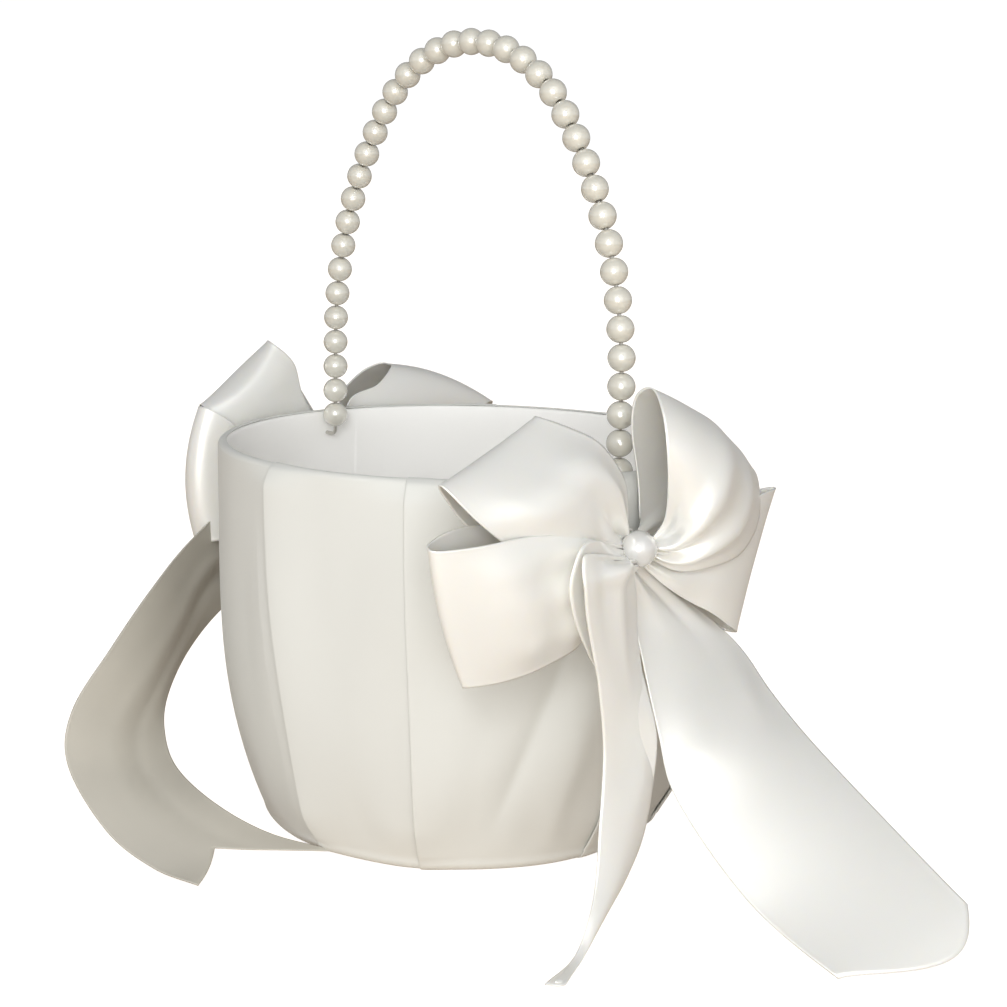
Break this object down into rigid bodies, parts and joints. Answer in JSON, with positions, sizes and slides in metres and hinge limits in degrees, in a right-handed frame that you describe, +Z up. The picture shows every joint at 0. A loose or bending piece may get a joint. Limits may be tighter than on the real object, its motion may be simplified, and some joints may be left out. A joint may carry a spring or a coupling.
{
  "type": "flower girl basket",
  "caption": "Round satin-covered basket with an open top, a tilting pearl-strung bail handle and a double ribbon bow with tails at each end of the handle.",
  "frame": {"origin": "centre of the base, on the surface that the basket stands on", "axes": "+Z up; +X along the handle's span, towards the front bow; +Y to the front bow's right"},
  "size_m": [0.2955, 0.2041, 0.2386],
  "materials": {
    "cover_satin": "matte ivory satin",
    "lining_satin": "matte ivory satin lining",
    "ribbon": "glossy ivory satin ribbon",
    "tub_plastic": "moulded off-white plastic",
    "board": "grey fibre board",
    "wire": "drawn wire",
    "handle_pearl": "ivory nacre",
    "centre_pearl": "white nacre"
  },
  "bodies": {
    "basket": {"tub_shell": "tub_plastic", "base_board": "board", "base_cover": "cover_satin", "outer_cover": "cover_satin", "rim_cord": "cover_satin", "lining_wall": "lining_satin", "lining_floor": "lining_satin", "front_bow_upper_left_loop": "ribbon", "front_bow_upper_right_loop": "ribbon", "front_bow_lower_left_loop": "ribbon", "front_bow_lower_right_loop": "ribbon", "front_bow_wide_tail": "ribbon", "front_bow_narrow_tail": "ribbon", "front_bow_knot": "ribbon", "front_bow_pearl": "centre_pearl", "front_bow_pin": "wire", "rear_bow_upper_left_loop": "ribbon", "rear_bow_upper_right_loop": "ribbon", "rear_bow_lower_left_loop": "ribbon", "rear_bow_lower_right_loop": "ribbon", "rear_bow_wide_tail": "ribbon", "rear_bow_narrow_tail": "ribbon", "rear_bow_knot": "ribbon", "rear_bow_pearl": "centre_pearl", "rear_bow_pin": "wire"},
    "handle": {"handle_wire": "wire", "handle_stop_front": "wire", "handle_stop_rear": "wire", "handle_pearls_front": "handle_pearl", "handle_pearls_crown": "handle_pearl", "handle_pearls_rear": "handle_pearl"}
  },
  "joints": [
    {"name": "handle_tilt", "type": "hinge", "parent": "basket", "child": "handle", "pos_m": [0, 0, 0.109], "axis": [1, 0, 0], "range_deg": [-40, 40]}
  ]
}
